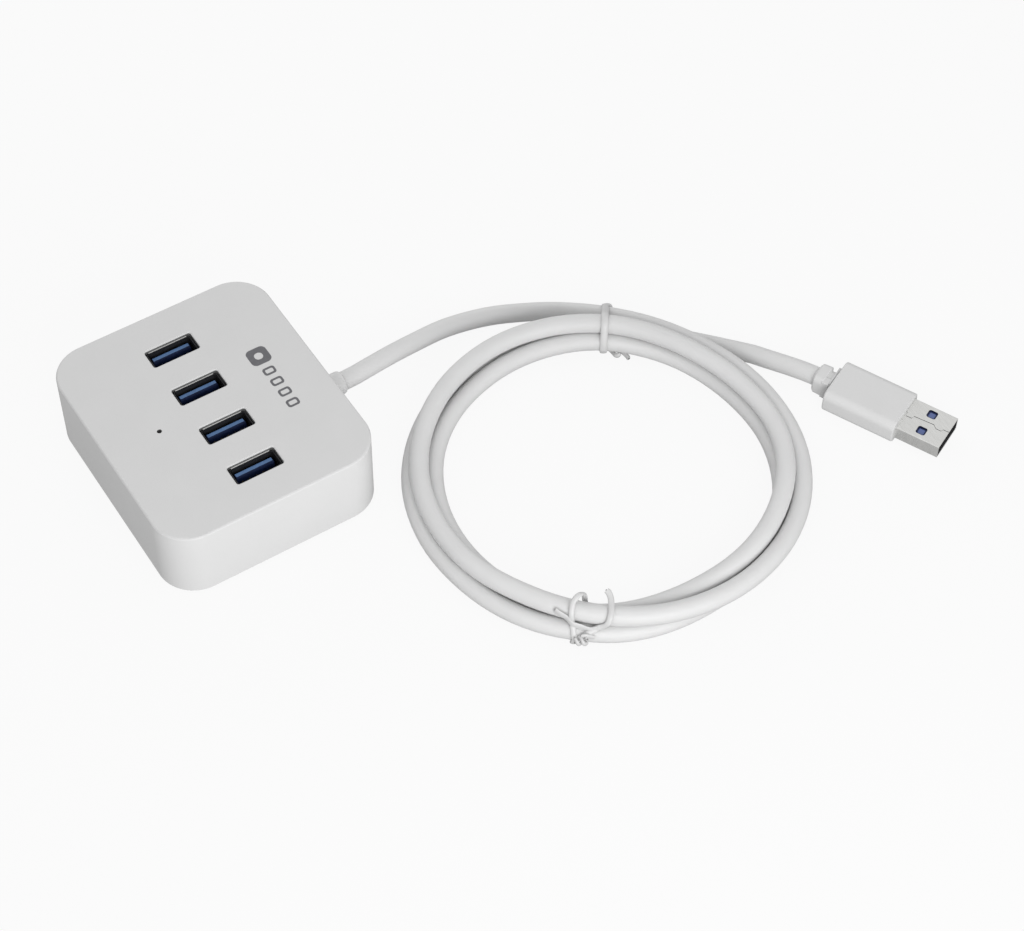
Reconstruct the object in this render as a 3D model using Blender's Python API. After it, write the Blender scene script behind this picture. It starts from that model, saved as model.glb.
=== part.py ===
"""A four-port USB 3 hub with its coiled cable and plug.

Metres, +Z up. The origin is the bottom centre of the hub's case. The four ports lie in a row along
X, and the cable leaves the back of the case, at +Y.
"""

import math

import bmesh
import bpy
from mathutils import Matrix, Vector

MM = 0.001
GAP = 0.3 * MM                  # clearance between pieces that touch

# Case
CASE_W = 72.6 * MM              # along X, the row of ports
CASE_D = 62.6 * MM              # along Y
CASE_TOP = 23.0 * MM
CASE_BOTTOM = 0.4 * MM          # the feet lift the case off the table
CORNER_R = 10.5 * MM
EDGE_R = 0.6 * MM               # soft edge round the top face
WALL = 1.8 * MM
ROOF = 2.0 * MM                 # thickness of the top face
FLOOR = 1.8 * MM                # thickness of the bottom cover
CORNER_STEPS = 9                # segments in each large corner
COVER_EDGE = 0.3 * MM           # chamfer round the bottom cover and the feet
PILOT_TOP = 12.5 * MM           # upper end of the screws' pilot holes

# Ports
PORT_COUNT = 4
PORT_PITCH = 15.2 * MM
PORT_X = 0.5 * MM               # middle of the row
PORT_L = 13.1 * MM              # socket shell, outside, along Y
PORT_T = 5.7 * MM               # socket shell, outside, along X
SHEET = 0.3 * MM                # thickness of the socket and plug metal
LIP_DEPTH = 1.0 * MM            # the socket's mouth lies this far below the top face
MOUTH_R = 0.7 * MM              # corners of the openings in the top face
SOCKET_R = 0.8 * MM             # socket shell's corners, outside
SOCKET_BASE = 11.0 * MM         # top of the insulator's base
TAB_W = 1.6 * MM                # solder tabs
TONGUE_L = 11.1 * MM
TONGUE_T = 1.84 * MM
TONGUE_DEPTH = 1.3 * MM         # the tongue's tip lies this far below the socket's mouth
TONGUE_BACK = 0.7 * MM          # space between the tongue's back and the shell
TONGUE_EDGE = 0.3 * MM          # chamfer round the tongue's tip

# Board
BOARD_W = 60.0 * MM
BOARD_D = 39.0 * MM
BOARD_Z = 4.6 * MM
BOARD_T = 1.6 * MM
DECK = BOARD_Z + BOARD_T + GAP  # where the pieces on the board stand

# Screws and feet
SCREW_X = 27.5 * MM
SCREW_Y = 22.5 * MM
BOSS_R = 2.6 * MM
PILOT_R = 1.3 * MM
SHANK_R = 1.0 * MM
HEAD_R = 2.1 * MM
FOOT_X = 15.5 * MM
FOOT_Y = 22.5 * MM
FOOT_R = 4.0 * MM
FOOT_T = 1.2 * MM

# Status light
LED_X = 0.4 * MM
LED_Y = -15.7 * MM
LED_HOLE_R = 0.65 * MM

# Cable
CABLE_R = 2.65 * MM
EXIT_X = 0.5 * MM
EXIT_Z = 8.6 * MM
RELIEF_R = 3.3 * MM             # strain relief outside the case
RELIEF_END = 38.4 * MM          # Y of its outer end
NECK_R = 2.8 * MM               # strain relief where it passes the wall

# The lead from the strain relief to the coil, point by point
HUB_LEAD = [(0.5, 39.0, 8.6), (0.3, 42.5, 8.5), (-0.6, 47.3, 7.9), (-2.7, 56.1, 6.0),
            (-4.4, 64.8, 4.1), (-5.3, 73.0, 2.95), (-4.4, 80.4, 2.7), (-2.6, 87.2, 2.65),
            (0.0, 93.4, 2.65), (3.9, 100.9, 2.65)]
# The lead from the coil to the plug
PLUG_LEAD = [(47.7, 141.7, 2.65), (50.8, 143.8, 2.65), (55.5, 146.9, 2.9), (60.4, 149.5, 3.5),
             (64.05, 151.2, 3.9)]
ROUTE_STEP = 11.0 * MM          # spacing of the tube's points, about two diameters

# Coil: the outer shape of three turns, tied twice
COIL_X = 60.4 * MM
COIL_Y = 84.8 * MM
COIL_INNER_R = 41.0 * MM
COIL_OUTER_R = 55.0 * MM
COIL_BOTTOM = 1.3 * MM
COIL_TOP = 11.0 * MM
COIL_ROUND = 2.4 * MM           # rounding of the ring's section
TIE_ANGLES = (147.0, 317.0)     # degrees round the coil, from +X towards +Y
TIE_W = 2.1 * MM
TIE_T = 0.7 * MM
TIE_TAIL = 7.0 * MM             # reach of the lower end inside the coil
TIE_TAIL_UPPER = 5.5 * MM       # reach of the upper end
TIE_TAIL_LIFT = 1.6 * MM        # height of the upper end above the lower one
TIE_BEND = 2.0 * MM             # bend of the upper end

# Plug
PLUG_BASE = (88.7 * MM, 162.8 * MM)     # where the shell leaves the overmould
PLUG_TURN = math.radians(25.5)          # direction of the plug, from +X towards +Y
PLUG_Z = 3.9 * MM                       # height of the plug's axis
SHELL_W = 12.0 * MM
SHELL_H = 4.5 * MM
SHELL_OUT = 12.9 * MM                   # length outside the overmould
SHELL_IN = 3.0 * MM                     # length held inside it
MOULD_L = 20.6 * MM
MOULD_W = 15.0 * MM
MOULD_H = 7.6 * MM
MOULD_R = 1.8 * MM
MOULD_BACK = 0.7 * MM                   # rounding at the cable end
MOULD_FRONT = 0.4 * MM                  # rounding at the shell end
PLUG_INSET = 1.0 * MM                   # the insulator ends this far inside the shell
PLUG_BLOCK_T = 1.7 * MM                 # insulator's thickness
LATCH_HOLE = 2.7 * MM
LATCH_X = 6.2 * MM                      # hole centres, from the overmould
LATCH_Y = 3.25 * MM


def clear_scene():
    for item in list(bpy.data.objects):
        bpy.data.objects.remove(item, do_unlink=True)


def material(name, color, roughness, metallic=0.0):
    mat = bpy.data.materials.new(name)
    mat.use_nodes = True
    shader = mat.node_tree.nodes["Principled BSDF"]
    shader.inputs["Base Color"].default_value = (*color, 1.0)
    shader.inputs["Roughness"].default_value = roughness
    shader.inputs["Metallic"].default_value = metallic
    return mat


def add_object(name, bm, mat, smooth=35.0):
    """Turn a bmesh into a named object, shaded smooth except across sharp edges."""
    bmesh.ops.recalc_face_normals(bm, faces=bm.faces)
    mesh = bpy.data.meshes.new(name)
    bm.to_mesh(mesh)
    bm.free()
    if mat:
        mesh.materials.append(mat)
    mesh.shade_smooth()
    mesh.set_sharp_from_angle(angle=math.radians(smooth))
    obj = bpy.data.objects.new(name, mesh)
    bpy.context.collection.objects.link(obj)
    return obj


def add_cutter(name, bm):
    cutter = add_object(name, bm, None)
    cutter.hide_render = True
    cutter.display_type = "WIRE"
    return cutter


def boolean(obj, cutter, operation):
    mod = obj.modifiers.new(operation.lower(), "BOOLEAN")
    mod.operation = operation
    mod.solver = "EXACT"
    mod.object = cutter


def rounded_rectangle(width, depth, radius, steps, center=(0.0, 0.0)):
    """Points of a rounded rectangle in the XY plane, anticlockwise."""
    points = []
    for corner, (sx, sy) in enumerate(((1, 1), (-1, 1), (-1, -1), (1, -1))):
        cx = center[0] + sx * (width / 2 - radius)
        cy = center[1] + sy * (depth / 2 - radius)
        for step in range(steps + 1):
            angle = math.pi / 2 * (corner + step / steps)
            points.append((cx + radius * math.cos(angle), cy + radius * math.sin(angle)))
    return points


def circle(radius, steps, center=(0.0, 0.0)):
    return [(center[0] + radius * math.cos(2 * math.pi * i / steps),
             center[1] + radius * math.sin(2 * math.pi * i / steps)) for i in range(steps)]


def at_height(outline, z):
    return [(x, y, z) for x, y in outline]


def loft(bm, loops, ring=False):
    """Skin a list of loops with equal point counts; the ends are capped unless ring is True."""
    rows = [[bm.verts.new(p) for p in loop] for loop in loops]
    pairs = list(zip(rows, rows[1:]))
    if ring:
        pairs.append((rows[-1], rows[0]))
    count = len(rows[0])
    for lower, upper in pairs:
        for i in range(count):
            j = (i + 1) % count
            bm.faces.new((lower[i], lower[j], upper[j], upper[i]))
    if not ring:
        bm.faces.new(list(reversed(rows[0])))
        bm.faces.new(rows[-1])


def add_block(bm, width, depth, z0, z1, center=(0.0, 0.0), radius=0.0, steps=2):
    """An upright prism with a rectangular or rounded outline."""
    if radius > 0:
        outline = rounded_rectangle(width, depth, radius, steps, center)
    else:
        hx, hy = width / 2, depth / 2
        outline = [(center[0] + sx * hx, center[1] + sy * hy)
                   for sx, sy in ((1, 1), (-1, 1), (-1, -1), (1, -1))]
    loft(bm, [at_height(outline, z0), at_height(outline, z1)])


def add_post(bm, radius, z0, z1, center=(0.0, 0.0), steps=24):
    outline = circle(radius, steps, center)
    loft(bm, [at_height(outline, z0), at_height(outline, z1)])


def add_turned(bm, profile, steps=32):
    """A solid of revolution about Z from (radius, height) points, with capped ends."""
    loft(bm, [at_height(circle(radius, steps), z) for radius, z in profile])


def move_bmesh(bm, matrix):
    bmesh.ops.transform(bm, matrix=matrix, verts=bm.verts)


def port_centers():
    return [PORT_X + (i - (PORT_COUNT - 1) / 2) * PORT_PITCH for i in range(PORT_COUNT)]


def corners(x, y):
    return [(sx * x, sy * y) for sx, sy in ((-1, -1), (1, -1), (1, 1), (-1, 1))]


def case_outline(inset):
    return rounded_rectangle(CASE_W - 2 * inset, CASE_D - 2 * inset, CORNER_R - inset, CORNER_STEPS)


# ---------------------------------------------------------------- case

def make_top_cover(mat):
    bm = bmesh.new()
    edge_steps = 4
    loops = [at_height(case_outline(WALL), CASE_TOP - ROOF),
             at_height(case_outline(WALL), CASE_BOTTOM),
             at_height(case_outline(0.0), CASE_BOTTOM)]
    for step in range(edge_steps + 1):
        angle = math.pi / 2 * step / edge_steps
        inset = EDGE_R * (1 - math.cos(angle))
        loops.append(at_height(case_outline(inset), CASE_TOP - EDGE_R * (1 - math.sin(angle))))
    loft(bm, loops)
    cover = add_object("top_cover", bm, mat)

    bm = bmesh.new()
    boss_bottom = CASE_BOTTOM + 2 * FLOOR + GAP
    for center in corners(SCREW_X, SCREW_Y):
        add_post(bm, BOSS_R, boss_bottom, CASE_TOP - ROOF / 2, center)
    boolean(cover, add_cutter("cover_bosses", bm), "UNION")

    bm = bmesh.new()
    for center in corners(SCREW_X, SCREW_Y):
        add_post(bm, PILOT_R, boss_bottom - MM, PILOT_TOP, center)
    mouth_l = PORT_L + 2 * GAP
    mouth_t = PORT_T + 2 * GAP
    for x in port_centers():
        add_block(bm, mouth_t, mouth_l, CASE_TOP - ROOF - MM, CASE_TOP + MM, (x, 0.0), MOUTH_R, 3)
    add_post(bm, LED_HOLE_R, CASE_TOP - ROOF - MM, CASE_TOP + MM, (LED_X, LED_Y), 20)
    slot = cable_slot_outline(NECK_R + GAP, CASE_BOTTOM - MM)
    loft(bm, [[(x, CASE_D / 2 - WALL - MM, z) for x, z in slot],
              [(x, CASE_D / 2 + MM, z) for x, z in slot]])
    boolean(cover, add_cutter("cover_openings", bm), "DIFFERENCE")
    return cover


def cable_slot_outline(half_width, bottom):
    """Outline in XZ of the slot for the strain relief: round at the top, open downwards."""
    steps = 16
    points = [(EXIT_X - half_width, bottom), (EXIT_X + half_width, bottom)]
    for step in range(steps + 1):
        angle = math.pi * step / steps
        points.append((EXIT_X + half_width * math.cos(angle), EXIT_Z + half_width * math.sin(angle)))
    return points


def make_bottom_cover(mat):
    inset = WALL + GAP
    bm = bmesh.new()
    loft(bm, [at_height(case_outline(inset + COVER_EDGE), CASE_BOTTOM),
              at_height(case_outline(inset), CASE_BOTTOM + COVER_EDGE),
              at_height(case_outline(inset), CASE_BOTTOM + FLOOR)])
    cover = add_object("bottom_cover", bm, mat)

    bm = bmesh.new()
    for center in corners(SCREW_X, SCREW_Y):
        add_post(bm, 3.6 * MM, CASE_BOTTOM + FLOOR / 2, CASE_BOTTOM + 2 * FLOOR, center)
    for center in corners(19.0 * MM, 12.0 * MM):
        add_post(bm, 2.0 * MM, CASE_BOTTOM + FLOOR / 2, BOARD_Z - GAP, center)
    half = NECK_R
    steps = 10
    reach = NECK_R + GAP
    start = math.asin(half / reach)
    tab = [(EXIT_X - half, CASE_BOTTOM), (EXIT_X + half, CASE_BOTTOM)]
    for step in range(steps + 1):
        angle = start - 2 * start * step / steps
        tab.append((EXIT_X + reach * math.sin(angle), EXIT_Z - reach * math.cos(angle)))
    loft(bm, [[(x, CASE_D / 2 - WALL, z) for x, z in tab],
              [(x, CASE_D / 2, z) for x, z in tab]])
    boolean(cover, add_cutter("floor_posts", bm), "UNION")

    bm = bmesh.new()
    add_block(bm, 2 * half, WALL + MM, CASE_BOTTOM, CASE_BOTTOM + 2 * FLOOR,
              (EXIT_X, CASE_D / 2 - WALL))
    boolean(cover, add_cutter("floor_bridge", bm), "UNION")

    bm = bmesh.new()
    for center in corners(SCREW_X, SCREW_Y):
        add_post(bm, HEAD_R + GAP, CASE_BOTTOM - MM, CASE_BOTTOM + FLOOR, center)
    for center in corners(FOOT_X, FOOT_Y):
        add_post(bm, FOOT_R + GAP, CASE_BOTTOM - MM, FOOT_T + GAP, center, 32)
    boolean(cover, add_cutter("floor_recesses", bm), "DIFFERENCE")

    bm = bmesh.new()
    for center in corners(SCREW_X, SCREW_Y):
        add_post(bm, SHANK_R + GAP, CASE_BOTTOM, CASE_BOTTOM + 2 * FLOOR + MM, center)
    boolean(cover, add_cutter("floor_screw_holes", bm), "DIFFERENCE")
    return cover


def make_screw(name, center, mat):
    """A pan-head screw, driven up from below, with a cross recess."""
    top = 11.5 * MM
    head_bottom = 0.8 * MM
    head_top = CASE_BOTTOM + FLOOR - GAP
    bm = bmesh.new()
    add_turned(bm, [(1.5 * MM, head_bottom), (HEAD_R, head_bottom + 0.4 * MM), (HEAD_R, head_top),
                    (SHANK_R, head_top), (SHANK_R, top - 0.8 * MM), (0.3 * MM, top)], 20)
    move_bmesh(bm, Matrix.Translation((center[0], center[1], 0.0)))
    screw = add_object(name, bm, mat)
    arm = 1.2 * MM
    half = 0.28 * MM
    cross = []
    for quarter in range(4):
        turned = Matrix.Rotation(math.pi / 2 * quarter, 2)
        for x, y in ((arm, -half), (arm, half), (half, half)):
            point = turned @ Vector((x, y))
            cross.append((center[0] + point.x, center[1] + point.y))
    bm = bmesh.new()
    loft(bm, [at_height(cross, head_bottom - MM), at_height(cross, head_bottom + 0.7 * MM)])
    boolean(screw, add_cutter(name + "_recess", bm), "DIFFERENCE")
    return screw


def make_foot(name, center, mat):
    bm = bmesh.new()
    add_turned(bm, [(FOOT_R - COVER_EDGE, 0.0), (FOOT_R, COVER_EDGE), (FOOT_R, FOOT_T)], 32)
    move_bmesh(bm, Matrix.Translation((center[0], center[1], 0.0)))
    return add_object(name, bm, mat)


# ---------------------------------------------------------------- ports and board

def make_socket_shell(name, x, mat):
    """A folded metal tube, open at the top, with a solder tab at each end."""
    top = CASE_TOP - LIP_DEPTH
    outer = rounded_rectangle(PORT_T, PORT_L, SOCKET_R, 3, (x, 0.0))
    inner = rounded_rectangle(PORT_T - 2 * SHEET, PORT_L - 2 * SHEET, SOCKET_R - SHEET, 3, (x, 0.0))
    bm = bmesh.new()
    loft(bm, [at_height(inner, DECK), at_height(outer, DECK), at_height(outer, top),
              at_height(inner, top)], ring=True)
    shell = add_object(name, bm, mat)
    bm = bmesh.new()
    for side in (-1, 1):
        add_block(bm, TAB_W, SHEET, BOARD_Z - 0.8 * MM, DECK + MM,
                  (x, side * (PORT_L - SHEET) / 2))
    boolean(shell, add_cutter(name + "_tabs", bm), "UNION")
    return shell


def make_socket_insulator(name, x, mat):
    """The blue moulding: a block at the foot of the socket with the tongue standing on it."""
    shell_inside = PORT_T - 2 * SHEET
    tip = CASE_TOP - LIP_DEPTH - TONGUE_DEPTH
    tongue_x = x - shell_inside / 2 + TONGUE_BACK + TONGUE_T / 2
    bm = bmesh.new()
    add_block(bm, shell_inside - 2 * GAP, PORT_L - 2 * SHEET - 2 * GAP, DECK, SOCKET_BASE, (x, 0.0))
    insulator = add_object(name, bm, mat)
    bm = bmesh.new()
    outline = [(tongue_x + sx * TONGUE_T / 2, sy * TONGUE_L / 2)
               for sx, sy in ((1, 1), (-1, 1), (-1, -1), (1, -1))]
    tip_outline = [(tongue_x + sx * (TONGUE_T / 2 - TONGUE_EDGE), sy * (TONGUE_L / 2 - TONGUE_EDGE))
                   for sx, sy in ((1, 1), (-1, 1), (-1, -1), (1, -1))]
    loft(bm, [at_height(outline, SOCKET_BASE - MM), at_height(outline, tip - TONGUE_EDGE),
              at_height(tip_outline, tip)])
    boolean(insulator, add_cutter(name + "_tongue", bm), "UNION")
    return insulator


def make_board(mat):
    bm = bmesh.new()
    add_block(bm, BOARD_W, BOARD_D, BOARD_Z, BOARD_Z + BOARD_T, radius=3.0 * MM, steps=4)
    board = add_object("main_board", bm, mat)
    bm = bmesh.new()
    for x in port_centers():
        for side in (-1, 1):
            add_block(bm, TAB_W + 2 * GAP, SHEET + 2 * GAP, BOARD_Z - MM, BOARD_Z + BOARD_T + MM,
                      (x, side * (PORT_L - SHEET) / 2))
    boolean(board, add_cutter("board_slots", bm), "DIFFERENCE")
    return board


def make_chip(name, size, center, mat):
    """A flat package with chamfered upper edges."""
    width, depth, height = size
    chamfer = 0.15 * MM
    bm = bmesh.new()
    lower = [(center[0] + sx * width / 2, center[1] + sy * depth / 2)
             for sx, sy in ((1, 1), (-1, 1), (-1, -1), (1, -1))]
    upper = [(center[0] + sx * (width / 2 - chamfer), center[1] + sy * (depth / 2 - chamfer))
             for sx, sy in ((1, 1), (-1, 1), (-1, -1), (1, -1))]
    loft(bm, [at_height(lower, DECK), at_height(lower, DECK + height - chamfer),
              at_height(upper, DECK + height)])
    return add_object(name, bm, mat)


def make_crystal(mat):
    bm = bmesh.new()
    add_block(bm, 11.0 * MM, 4.6 * MM, DECK, DECK + 3.4 * MM, (-24.0 * MM, 13.0 * MM), 2.25 * MM, 6)
    return add_object("crystal", bm, mat)


def make_capacitor(name, x, mat):
    profile = [(3.0, 0.0), (3.15, 0.3), (3.15, 1.1), (2.9, 1.3), (3.15, 1.6), (3.15, 5.0), (2.9, 5.4)]
    bm = bmesh.new()
    add_turned(bm, [(r * MM, DECK + z * MM) for r, z in profile], 28)
    move_bmesh(bm, Matrix.Translation((x, -14.0 * MM, 0.0)))
    return add_object(name, bm, mat)


def make_light_pipe(mat):
    bottom = DECK + 0.8 * MM + GAP
    top = CASE_TOP - ROOF - GAP
    bm = bmesh.new()
    add_turned(bm, [(1.3 * MM, bottom), (1.3 * MM, top - 0.3 * MM), (1.0 * MM, top)], 20)
    move_bmesh(bm, Matrix.Translation((LED_X, LED_Y, 0.0)))
    return add_object("light_pipe", bm, mat)


def make_cable_header(mat):
    bm = bmesh.new()
    add_block(bm, 11.0 * MM, 4.4 * MM, DECK, DECK + 4.0 * MM, (EXIT_X, 14.5 * MM), 0.3 * MM, 2)
    return add_object("cable_header", bm, mat)


# ---------------------------------------------------------------- cable

def smooth_route(points, step):
    """Read points at an even spacing from a smooth curve through the given points."""
    knots = [Vector(p) for p in points]
    first = knots[0] * 2 - knots[1]
    last = knots[-1] * 2 - knots[-2]
    ends = [first] + knots + [last]
    dense = []
    fine = 24
    for a, b, c, d in zip(ends, ends[1:], ends[2:], ends[3:]):
        for i in range(fine):
            t = i / fine
            dense.append(0.5 * (2 * b + (c - a) * t + (2 * a - 5 * b + 4 * c - d) * t * t
                                + (3 * b - a - 3 * c + d) * t ** 3))
    dense.append(knots[-1])
    lengths = [0.0]
    for p, q in zip(dense, dense[1:]):
        lengths.append(lengths[-1] + (q - p).length)
    count = max(3, round(lengths[-1] / step))
    route = []
    at = 0
    for i in range(count + 1):
        target = lengths[-1] * i / count
        while at < len(dense) - 2 and lengths[at + 1] < target:
            at += 1
        span = lengths[at + 1] - lengths[at]
        share = 0.0 if span == 0 else min(1.0, (target - lengths[at]) / span)
        route.append(dense[at].lerp(dense[at + 1], share))
    return route


def make_tube(name, points, radius, mat, resolution=3):
    data = bpy.data.curves.new(name, "CURVE")
    data.dimensions = "3D"
    data.bevel_depth = radius
    data.bevel_resolution = resolution
    data.use_fill_caps = True
    spline = data.splines.new("POLY")
    spline.points.add(len(points) - 1)
    for point, place in zip(spline.points, points):
        point.co = (*place, 1.0)
    spline.use_smooth = True
    data.materials.append(mat)
    obj = bpy.data.objects.new(name, data)
    bpy.context.collection.objects.link(obj)
    return obj


def in_metres(points):
    return [Vector(p) * MM for p in points]


def make_strain_relief(mat):
    """A turned piece lying along Y: inner flange, neck in the wall, outer sleeve."""
    wall_in = CASE_D / 2 - WALL
    wall_out = CASE_D / 2
    bm = bmesh.new()
    add_turned(bm, [(NECK_R + 1.0 * MM, wall_in - 2.0 * MM), (NECK_R + 1.2 * MM, wall_in - 1.6 * MM),
                    (NECK_R + 1.2 * MM, wall_in - GAP), (NECK_R, wall_in - GAP),
                    (NECK_R, wall_out + GAP), (RELIEF_R - 0.2 * MM, wall_out + GAP),
                    (RELIEF_R, wall_out + 0.8 * MM), (RELIEF_R, RELIEF_END - 0.9 * MM),
                    (RELIEF_R - 0.2 * MM, RELIEF_END - 0.3 * MM),
                    (RELIEF_R - 0.6 * MM, RELIEF_END)], 32)
    move_bmesh(bm, Matrix.Translation((EXIT_X, 0.0, EXIT_Z)) @ Matrix.Rotation(-math.pi / 2, 4, "X"))
    return add_object("hub_strain_relief", bm, mat)


def make_cable_tail(mat):
    """The end of the cable's jacket inside the case."""
    wall_in = CASE_D / 2 - WALL
    bm = bmesh.new()
    add_turned(bm, [(2.3 * MM, 21.6 * MM), (2.3 * MM, wall_in - 2.0 * MM - GAP)], 24)
    move_bmesh(bm, Matrix.Translation((EXIT_X, 0.0, EXIT_Z)) @ Matrix.Rotation(-math.pi / 2, 4, "X"))
    return add_object("cable_tail", bm, mat)


def make_wires(mats):
    """Four wires that fan out from the tail to the header."""
    for i, (name, mat) in enumerate(mats):
        near = (i - 1.5) * 1.1 * MM
        far = (i - 1.5) * 2.4 * MM
        points = [(EXIT_X + near, 21.2 * MM, EXIT_Z), (EXIT_X + near * 1.3, 20.2 * MM, EXIT_Z),
                  (EXIT_X + (near + far) / 2, 18.9 * MM, EXIT_Z + 0.2 * MM),
                  (EXIT_X + far * 0.97, 17.8 * MM, EXIT_Z), (EXIT_X + far, 17.0 * MM, EXIT_Z)]
        make_tube(name, smooth_route(points, 0.7 * MM), 0.4 * MM, mat, 2)


def make_coil(mat):
    """A turned ring: the outer shape of the coil's three turns."""
    steps = 72
    corner_steps = 3
    middle = (COIL_INNER_R + COIL_OUTER_R) / 2
    section = rounded_rectangle(COIL_OUTER_R - COIL_INNER_R, COIL_TOP - COIL_BOTTOM, COIL_ROUND,
                                corner_steps, (middle, (COIL_BOTTOM + COIL_TOP) / 2))
    bm = bmesh.new()
    loops = []
    for i in range(steps):
        angle = 2 * math.pi * i / steps
        loops.append([(COIL_X + r * math.cos(angle), COIL_Y + r * math.sin(angle), z)
                      for r, z in section])
    loft(bm, loops, ring=True)
    return add_object("cable_coil", bm, mat)


def make_twist_tie(name, angle, mat):
    """A flat tie bent round the coil, its two ends lying side by side inside the coil."""
    half = TIE_T / 2
    low = COIL_BOTTOM - GAP - half
    high = COIL_TOP + GAP + half
    inner = COIL_INNER_R - GAP - half
    outer = COIL_OUTER_R + GAP + half
    bend = COIL_ROUND + GAP + half
    path = [(inner - TIE_TAIL, low), (inner - TIE_BEND, low), (inner + bend + MM, low)]
    corner_centers = (((outer - bend, low + bend), -90.0), ((outer - bend, high - bend), 0.0),
                      ((inner + bend, high - bend), 90.0))
    for center, start in corner_centers:
        path += turn(center, bend, start, start + 90.0)
    path += [(inner, low + bend + MM)]
    path += turn((inner - TIE_BEND, low + bend), TIE_BEND, 0.0, -70.0)
    path += [(inner - TIE_TAIL_UPPER, low + TIE_TAIL_LIFT)]
    turn_angle = math.radians(angle)
    along = Vector((math.cos(turn_angle), math.sin(turn_angle), 0.0))
    side = Vector((-along.y, along.x, 0.0))
    center = Vector((COIL_X, COIL_Y, 0.0))
    bm = bmesh.new()
    loops = []
    for i, (r, z) in enumerate(path):
        before = Vector(path[max(i - 1, 0)])
        after = Vector(path[min(i + 1, len(path) - 1)])
        run = (after - before).normalized()
        across = Vector((-run.y, run.x)) * half
        loop = []
        for w, t in ((1, 1), (-1, 1), (-1, -1), (1, -1)):
            place = center + along * (r + across.x * t) + side * (TIE_W / 2 * w)
            place.z = z + across.y * t
            loop.append(place)
        loops.append(loop)
    loft(bm, loops)
    return add_object(name, bm, mat)


def turn(center, radius, start, end, steps=5):
    """Points of a circular arc, in degrees, in the section's plane."""
    points = []
    for i in range(steps + 1):
        angle = math.radians(start + (end - start) * i / steps)
        points.append((center[0] + radius * math.cos(angle), center[1] + radius * math.sin(angle)))
    return points


# ---------------------------------------------------------------- plug

def plug_matrix():
    """The plug's own frame: +X towards its tip, +Z up, origin where the shell leaves the mould."""
    place = Matrix.Translation((PLUG_BASE[0], PLUG_BASE[1], PLUG_Z))
    return place @ Matrix.Rotation(PLUG_TURN, 4, "Z")


def section_at(x, width, height, radius, steps=4):
    return [(x, y, z) for y, z in rounded_rectangle(width, height, radius, steps)]


def make_plug_mould(mat):
    bm = bmesh.new()
    back = MOULD_BACK
    front = MOULD_FRONT
    loft(bm, [section_at(-MOULD_L, MOULD_W - 2 * back, MOULD_H - 2 * back, MOULD_R - back),
              section_at(-MOULD_L + back / 4, MOULD_W - back, MOULD_H - back, MOULD_R - back / 2),
              section_at(-MOULD_L + back, MOULD_W, MOULD_H, MOULD_R),
              section_at(-front, MOULD_W, MOULD_H, MOULD_R),
              section_at(0.0, MOULD_W - 2 * front, MOULD_H - 2 * front, MOULD_R - front)])
    move_bmesh(bm, plug_matrix())
    mould = add_object("plug_overmould", bm, mat)
    bm = bmesh.new()
    loft(bm, [section_at(-SHELL_IN - GAP, SHELL_W + 2 * GAP, SHELL_H + 2 * GAP, 0.7 * MM),
              section_at(MM, SHELL_W + 2 * GAP, SHELL_H + 2 * GAP, 0.7 * MM)])
    move_bmesh(bm, plug_matrix())
    boolean(mould, add_cutter("mould_pocket", bm), "DIFFERENCE")
    return mould


def make_plug_neck(mat):
    """The stepped sleeve between the cable and the overmould."""
    start = -MOULD_L - GAP
    profile = [(2.9, 0.0), (3.0, 0.3), (3.0, 0.7), (3.6, 0.7), (3.6, 1.5), (2.95, 1.5), (2.95, 2.2),
               (3.55, 2.2), (3.65, 2.5), (3.45, 5.2), (3.1, 5.6)]
    bm = bmesh.new()
    steps = 32
    loft(bm, [[(start - back * MM, y, z) for y, z in circle(radius * MM, steps)]
              for radius, back in profile])
    move_bmesh(bm, plug_matrix())
    return add_object("plug_neck", bm, mat)


def make_plug_shell(mat):
    """The metal shell: a folded tube with four latch holes, two above and two below."""
    outer = rounded_rectangle(SHELL_W, SHELL_H, 0.55 * MM, 4)
    inner = rounded_rectangle(SHELL_W - 2 * SHEET, SHELL_H - 2 * SHEET, 0.3 * MM, 4)
    tip = SHELL_OUT
    loops = []
    for x, outline in ((-SHELL_IN, inner), (-SHELL_IN, outer), (tip, outer), (tip, inner)):
        loops.append([(x, y, z) for y, z in outline])
    bm = bmesh.new()
    loft(bm, loops, ring=True)
    move_bmesh(bm, plug_matrix())
    shell = add_object("plug_shell", bm, mat)
    bm = bmesh.new()
    for side in (-1, 1):
        add_block(bm, LATCH_HOLE, LATCH_HOLE, -SHELL_H, SHELL_H, (LATCH_X, side * LATCH_Y), 0.5 * MM, 3)
    move_bmesh(bm, plug_matrix())
    boolean(shell, add_cutter("latch_holes", bm), "DIFFERENCE")
    return shell


def make_plug_insulator(mat):
    """The blue moulding that lies against the upper side of the shell."""
    inside_w = SHELL_W - 2 * SHEET - 2 * GAP
    top = SHELL_H / 2 - SHEET - GAP
    front = SHELL_OUT - PLUG_INSET
    bm = bmesh.new()
    add_block(bm, front + SHELL_IN, inside_w, top - PLUG_BLOCK_T, top, ((front - SHELL_IN) / 2, 0.0))
    move_bmesh(bm, plug_matrix())
    insulator = add_object("plug_insulator", bm, mat)
    bevel = insulator.modifiers.new("edges", "BEVEL")
    bevel.width = 0.15 * MM
    bevel.segments = 1
    return insulator


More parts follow.
